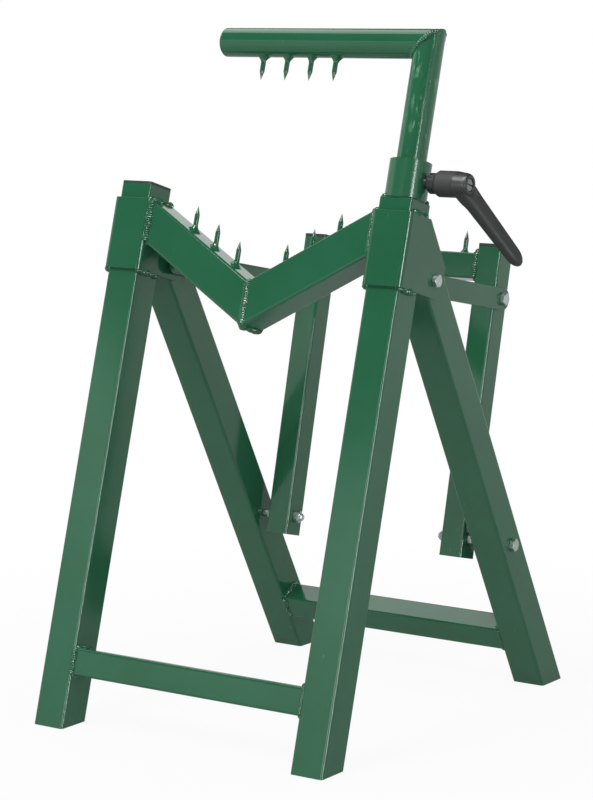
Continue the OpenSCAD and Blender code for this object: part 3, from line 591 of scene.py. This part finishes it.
# %% [markdown]
# ## Bolts and nuts
# A hexagon head is a prism whose corners are cut by a cone, which leaves curved edges that
# catch the light. Round a ring, the hexagon's radius is the half width over the cosine of
# the angle from the middle of its flat; the cone keeps each point as low as its radius asks.
# The thread is a true helix: the radius dips by a triangle wave of length minus angle. The
# places along the axis are counted outwards from the middle of the stand, so that one pair
# of numbers serves the left side and the right. Each row of the table names the body, the
# node that it stands for, the shape, its axis, its two places and its turn in degrees.

# %% Bolt, plain nut and lock nut
HEX, BOLT_R, HEAD_HIGH, WASHER_FACE_R = 6.5, 4.0, 5.3, 6.1
PITCH, THREAD_DEEP, THREAD_LONG, LOCK_COLLAR = 1.25, 0.6, 12, 1.76
CONE_SLOPE, FACE_SHARE = 0.577, 0.93
ROUND = np.linspace(0, 2 * np.pi, 72, endpoint=False)


def hexagon(turn):
    """Radius of a hexagon of half width HEX at each angle of ROUND, turned by degrees."""
    off = (ROUND + np.radians(turn) + np.pi / 6) % (np.pi / 3) - np.pi / 6
    return HEX / np.cos(off)


def rings_on_axis(axis, stations):
    """Rings round an axis along X through axis = (y, z) in mm. Each station is an x, or an x
    for every angle, with a radius, or a radius for every angle."""
    y, z = axis
    x = np.stack([MID_X + x + 0 * ROUND for x, _ in stations])
    r = np.stack([r + 0 * ROUND for _, r in stations])
    return np.stack([x, y + r * np.cos(ROUND), z + r * np.sin(ROUND)], -1) * MM


def cone_cut(x, out, radius):
    """Rings where a 30 degree cone cuts a hexagon's corners, from the face's circle outwards.
    A ring of radius r lies tan(30) (r - start) below the face."""
    start = FACE_SHARE * HEX
    steps = [start + (radius - start) * share for share in (0, 0.5, 1)]
    return [(x - out * CONE_SLOPE * (r - start), r) for r in steps]


def threads(x_from, x_to):
    """Stations of a helical thread between two places, 5 to a millimetre. The radius is R
    minus its depth times |2 f - 1|, where f is the fraction of x / pitch - angle / 2 pi."""
    x = np.linspace(x_from, x_to, int(abs(x_to - x_from) / 0.2))
    wave = np.abs(((x[:, None] / PITCH - ROUND / (2 * np.pi)) % 1) * 2 - 1)
    return [(x[n], BOLT_R - THREAD_DEEP * wave[n]) for n in range(len(x))]


def bolt(axis, side, places, turn):
    """A bolt from under its head to its tip, with a thread on the last 12 mm of its shank."""
    x_head, x_end = (side * x for x in places)
    out, corner = np.sign(x_head - x_end), hexagon(turn)
    foot, x_thread = x_head + out * 0.4, x_end + out * THREAD_LONG
    head = cone_cut(x_head + out * HEAD_HIGH, out, corner)
    head += [(foot, corner), (foot, WASHER_FACE_R + 0 * ROUND), (x_head, WASHER_FACE_R)]
    shank = [(x_head, BOLT_R), (x_thread, BOLT_R)]
    tip = [(x_end + out * 0.6, BOLT_R - 0.3), (x_end, BOLT_R - 1.0)]
    return skin(rings_on_axis(axis, head + shank + threads(x_thread, x_end + out) + tip))


def nut(axis, side, places, turn=0, collar=0.0):
    """A hexagon nut between two places; a lock nut has a round collar over its last part."""
    x_one, x_two = (side * x for x in places)
    out, corner = np.sign(x_two - x_one), hexagon(turn)
    x_hex = x_two - out * collar
    body = cone_cut(x_one, -out, corner) + cone_cut(x_hex, out, corner)[::-1]
    if collar:
        body += [(x_hex, 5.5), (x_two - out * 0.7, 5.5), (x_two - out * 0.2, 5.2), (x_two, 4.7)]
    bore = [(x_two, BOLT_R + 0.05), (x_one, BOLT_R + 0.05)]
    return skin(rings_on_axis(axis, body + bore), loop=True)


PIVOT, LINK = (-50.42, 494.01), (190.21, 450.71)
FASTENERS = [
    ("front_frame", "pivot_bolts", bolt, PIVOT, (194.3, 124.5), [30]),
    ("front_frame", "pivot_nuts", nut, PIVOT, (134.8, 126.8), [0, LOCK_COLLAR]),
    ("front_frame", "pivot_spacer_nuts", nut, PIVOT, (145.7, 140.2), []),
    ("rear_frame", "link_bolts", bolt, LINK, (140, 94.5), [10]),
    ("rear_frame", "link_nuts", nut, LINK, (105, 97), [0, LOCK_COLLAR]),
    ("rear_frame", "strut_bolts", bolt, STRUT, (190, 94.5), [15]),
    ("rear_frame", "strut_nuts", nut, STRUT, (105, 97), [20, LOCK_COLLAR]),
    ("rear_frame", "strut_spacer_nuts", nut, STRUT, (135, 141.5), [8]),
]
for body, name, shape, axis, places, details in FASTENERS:
    pair = [shape(axis, side, places, *details) for side in (-1, 1)]
    piece(name + "_cut", pair, zinc, body, [name], sharp=25)

# %% [markdown]
# ## The clamp lever's handle
# The handle is cast in one: a hub that is turned outside and tapers to its open end, and a
# flat arm with rounded corners that slopes out and down from it and narrows towards a round
# tip. Hands have polished the tapered half of the hub, and the rest keeps its fine texture.
# The hub is a profile carried round the screw's axis, out along its outside and back along
# its bore, with one shallow dent pressed into it. The arm is a superellipse carried along a
# straight line. Its first rings spread over a cylinder inside the hub's wall, so that nothing
# crosses the bore, and it flares there, as a casting does where two shapes meet. The arm
# rises 26 degrees from a plane across the screw and is turned 28 degrees from plumb.

# %% Hub and arm of the handle
LEVER_UP, ROOT, REACH = 626.0, 64.3, 106.5
RISE, TURN = np.radians(26), np.radians(28 + FRONT_LEAN)
ARM_OUT, ARM_SIDE, ARM_POWER, TAPER, TIP = 8, 11, 3.5, 0.23, 0.15
FLARE_FROM, FLARE_OVER, FLARE_UNDER, FLARE_SIDE = 12, 14, 1.8, 0.8
ROOT_SHARES, ARM_RINGS = [0.04, 0.3, 0.55, 0.8], 90
WALL_R, HUB_END, HUB_R = 10.5, 75.2, 13.9
DENT_X, DENT_TURN, DENT_DEEP, DENT_WIDE = 53, 135, 0.9, 1.7
HUB_OUTSIDE = [(35.9, 10.9), (36.1, 11.3), (39.2, 13.6), (39.9, HUB_R), (60.3, HUB_R),
               (61.5, 13.75), (71.6, 12.3), (73.6, 11.8), (75.1, 10.9), (75.7, 9.9), (75.8, 8.4)]
HUB_BORE = [(75.8, 7.0), (75.6, 6.8), (59.9, 6.8), (59.9, 3.2), (56.9, 3.2), (56.9, 7.75),
            (41.1, 7.75), (41.1, 9.0), (35.9, 9.0)]


def lever_hub():
    """Rings round the screw's axis: the profile with no step over 0.7 mm, its radius lowered
    by a dent of 0.9 exp(-(distance / 1.7 mm) ^ 2) at 53 mm along and 135 degrees round."""
    x, r = np.array(HUB_OUTSIDE + HUB_BORE + HUB_OUTSIDE[:1]).T
    walk = np.concatenate([[0], np.cumsum(np.hypot(np.diff(x), np.diff(r)))])
    steps = np.unique(np.concatenate([walk, np.arange(0, walk[-1], 0.7)]))[:-1]
    x, r = np.interp(steps, walk, x)[:, None], np.interp(steps, walk, r)[:, None]
    t = np.linspace(0, 2 * np.pi, 120, endpoint=False)[None, :]
    gap = np.hypot(x - DENT_X, HUB_R * (t - np.radians(DENT_TURN)))
    r = r - np.where(r > 13, DENT_DEEP * np.exp(-((gap / DENT_WIDE) ** 2)), 0)
    return front(LEG_X + x, LEG_TUBE / 2 + r * np.cos(t), LEVER_UP + r * np.sin(t)), x


def lever_arm():
    """Rings across the arm. At angle t a ring is sign(cos t) |cos t| ^ (2 / 3.5) by the same of
    sin t. With s from the hub's axis to the tip, the half sizes are 8 and 11 times
    (1 - 0.23 min(s / 0.85 L, 1)) (1 - u ^ 2) ^ 0.5, where u is the share of the last 15
    percent. With q falling from 1 to 0 between s = 12 and 26, the underside is lower by
    1.8 q ^ 2 (3 - 2 q) and the sides are wider by 0.8 of it."""
    t = np.linspace(0, 2 * np.pi, 64, endpoint=False)[None, :]
    grow = np.concatenate([ROOT_SHARES, np.ones(ARM_RINGS)])[:, None]
    v = np.sin(np.linspace(0, 1, ARM_RINGS) * np.pi / 2)
    v = np.concatenate([np.zeros(len(ROOT_SHARES)), v])[:, None]
    unit = [np.sign(w) * np.abs(w) ** (2 / ARM_POWER) for w in (np.cos(t), np.sin(t))]
    out, side = ARM_OUT * grow * unit[0], ARM_SIDE * grow * unit[1]
    start = (out * np.sin(RISE) + np.sqrt(np.maximum(WALL_R**2 - side**2, 0))) / np.cos(RISE)
    s = start + (REACH - start) * v
    straight = (1 - TIP) * REACH
    u = np.clip((s - straight) / (REACH - straight), 0, 1)
    share = (1 - TAPER * np.minimum(s / straight, 1)) * (1 - u**2) ** 0.5
    near = 1 - np.clip((s - FLARE_FROM) / FLARE_OVER, 0, 1)
    near = near**2 * (3 - 2 * near)
    out = out * share - FLARE_UNDER * grow * near * np.maximum(-unit[0], 0)
    side = side * share + FLARE_SIDE * grow * near * unit[1]
    x = ROOT + out * np.cos(RISE) + s * np.sin(RISE)
    down = s * np.cos(RISE) - out * np.sin(RISE)
    depth = down * np.sin(TURN) + side * np.cos(TURN)
    up = -down * np.cos(TURN) + side * np.sin(TURN)
    x = np.minimum(x, HUB_END + np.maximum(np.hypot(depth, up) - WALL_R, 0))
    return front(LEG_X + x, LEG_TUBE / 2 + depth, LEVER_UP + up)


hub, hub_x = lever_hub()
handle_skins = [skin(hub, loop=True), skin(lever_arm())]
handle = piece("lever_handle_cast", handle_skins, lever_plastic, "handle",
               ["lever_handle"], sharp=50)
WORN_FROM, WORN_FADE = 57, 2
worn_ring = np.clip((hub_x[:, 0] - WORN_FROM) / WORN_FADE, 0, 1)
worn = np.zeros(len(handle.data.vertices))
worn[: hub[..., 0].size] = np.repeat(worn_ring, hub.shape[1])
handle.data.attributes.new("worn", "FLOAT", "POINT").data.foreach_set("value", worn)

# %% [markdown]
# ## The floor
# The stand is seen on plain white. The floor is mostly white light, mixed near the feet with
# a matt paper that takes a soft contact shadow. In gloss it is dimmer, like lit paper, and
# brightens with distance, so that the tubes reflect a gradient and not a flat white.

# %% White floor
FLOOR_R, FLOOR_DROP, FLOOR_SIDES = 15, 0.0005, 96
SHADOW_FROM, SHADOW_TO, LIGHT_AT_FEET = 0.35, 1.0, 0.93
GLOSS_FROM, GLOSS_TO, GLOSS_NEAR, GLOSS_FAR = 0.3, 3.5, 0.5, 0.8
floor_mesh = bpy.data.meshes.new("floor")
edge = np.linspace(0, 2 * np.pi, FLOOR_SIDES, endpoint=False)
below = np.full(FLOOR_SIDES, -FLOOR_DROP)
disc = np.stack([FLOOR_R * np.cos(edge), FLOOR_R * np.sin(edge), below], -1)
floor_mesh.from_pydata(disc.tolist(), [], [list(range(FLOOR_SIDES))])
floor = bpy.data.objects.new("floor", floor_mesh)
bpy.context.scene.collection.objects.link(floor)
paper, tree, shader = finish("white_paper", "#dcdcdc", 0.9)
seen = add(tree, "LightPath").outputs
looks = {0: seen["Is Camera Ray"], 1: seen["Is Glossy Ray"]}
looks = add(tree, "Math", looks, operation="MAXIMUM").outputs[0]
looks = {0: looks, 1: seen["Is Transmission Ray"]}
looks = add(tree, "Math", looks, operation="MAXIMUM").outputs[0]
away = add(tree, "TexCoord").outputs["Object"]
away = add(tree, "VectorMath", {0: away}, operation="LENGTH").outputs["Value"]
share = {0: looks, 1: span(tree, away, SHADOW_FROM, SHADOW_TO, LIGHT_AT_FEET, 1.0)}
share = add(tree, "Math", share, operation="MULTIPLY").outputs[0]
dimmer = span(tree, away, GLOSS_FROM, GLOSS_TO, GLOSS_NEAR, GLOSS_FAR)
in_gloss = {0: seen["Is Glossy Ray"], 2: 1.0, 3: dimmer}
level = add(tree, "Mix", in_gloss, data_type="FLOAT").outputs[0]
glow = add(tree, "Emission", {"Color": (1, 1, 1, 1), "Strength": level}).outputs[0]
mixed = add(tree, "MixShader", {0: share, 1: shader.outputs[0], 2: glow})
tree.links.new(mixed.outputs[0], tree.nodes["Material Output"].inputs["Surface"])
paper.cycles.emission_sampling = "NONE"
floor_mesh.materials.append(paper)
print("the floor is a disc of", FLOOR_R, "m, pure light beyond", SHADOW_TO, "m from the middle")

# %% [markdown]
# ## The studio
# The world is white to the camera and a little dimmer for diffuse light. Gloss shows what
# stands round the stand: pale paper up to about 17 degrees above the floor, white behind the
# stand and brightest along its ragged upper edge, and a dark studio above. That is why the
# low parts of the legs look pale and the upper ones deep green. Left of the stand the paper
# ends a little lower. Heights are given as Z of the direction looked along.

# %% Studio surroundings
RAGGED_CELLS, RAGGED, LOWER_LEFT, DIFFUSE_LEVEL = 5, 0.08, -0.04, 0.6
EDGE_Z, EDGE_LEVELS = (0.22, 0.30), (0.7, 1.4)
DARK_Z, DARK_LEVELS = (0.305, 0.33), (1.0, 0.02)
world = bpy.data.worlds.new("studio")
bpy.context.scene.world = world
world.use_nodes = True
tree = world.node_tree
seen = add(tree, "LightPath").outputs
direction = add(tree, "TexCoord").outputs["Generated"]
part_of = add(tree, "SeparateXYZ", {0: direction}).outputs
ragged = {0: noise(tree, direction, RAGGED_CELLS), 1: RAGGED, 2: part_of["Z"]}
wavy = add(tree, "Math", ragged, operation="MULTIPLY_ADD").outputs[0]
on_left = span(tree, part_of["X"], -0.62, -0.58, LOWER_LEFT, 0.0)
wavy = add(tree, "Math", {0: wavy, 1: on_left}).outputs[0]
edge_light = span(tree, wavy, *EDGE_Z, *EDGE_LEVELS)
behind = span(tree, part_of["Y"], 0.0, 0.6, 0.0, 1.0)
band = add(tree, "Math", {0: edge_light, 1: behind}, operation="MAXIMUM").outputs[0]
under_dark = {0: band, 1: span(tree, wavy, *DARK_Z, *DARK_LEVELS)}
in_gloss = add(tree, "Math", under_dark, operation="MULTIPLY").outputs[0]
lit = blend(tree, seen["Is Glossy Ray"], (*[DIFFUSE_LEVEL] * 3, 1), in_gloss)
clear = {0: seen["Is Camera Ray"], 1: seen["Is Transmission Ray"]}
clear = add(tree, "Math", clear, operation="MAXIMUM").outputs[0]
shown = blend(tree, clear, lit, (1.0, 1.0, 1.0, 1))
tree.links.new(shown, tree.nodes["Background"].inputs["Color"])
bpy.context.scene.view_settings.view_transform = "Standard"
print("the studio's world has", len(tree.nodes), "nodes")

# %% [markdown]
# ## The lamps
# One soft light in front makes the shading and the shadow. The others show only in gloss: two
# narrow boxes of light, no taller than a person, draw the bright lines on edges and on the
# collar, a high one puts glints on the welds, and a wide weak one under the ceiling behind
# makes the top of the rear brace pale.

# %% Lamps
LIT_POINT = [-0.04, -0.05, 0.45]


def lamp(name, azimuth, elevation, distance, width, height, radiance, for_gloss_only=False):
    """A rectangle of light that faces the stand's middle. Azimuth 0 is in front and 90 is to
    the right; power is pi times area times radiance."""
    data = bpy.data.lights.new(name, "AREA")
    data.shape, data.size, data.size_y = "RECTANGLE", width, height
    data.energy = np.pi * width * height * radiance
    a, e = np.radians(azimuth), np.radians(elevation)
    away = np.array([np.sin(a) * np.cos(e), -np.cos(a) * np.cos(e), np.sin(e)])
    thing = bpy.data.objects.new(name, data)
    bpy.context.scene.collection.objects.link(thing)
    thing.location = (np.array(LIT_POINT) + distance * away).tolist()
    thing.rotation_euler = (np.pi / 2 - e, 0.0, a)
    thing.visible_camera = False
    thing.visible_diffuse = not for_gloss_only


lamp("soft_front_light", -12, 52, 3.0, 1.05, 1.05, 12.6)
lamp("right_strip", 64, 6, 2.8, 0.42, 1.4, 22.0, for_gloss_only=True)
lamp("left_strip", 4, 7, 2.8, 0.36, 1.5, 11.0, for_gloss_only=True)
lamp("high_glint_light", 30, 66, 2.8, 1.2, 1.2, 24.0, for_gloss_only=True)
lamp("back_ceiling_light", -114, 52, 2.8, 1.7, 1.7, 2.2, for_gloss_only=True)
lights = [thing.name for thing in bpy.context.scene.objects if thing.type == "LIGHT"]
print("lamps:", ", ".join(lights))
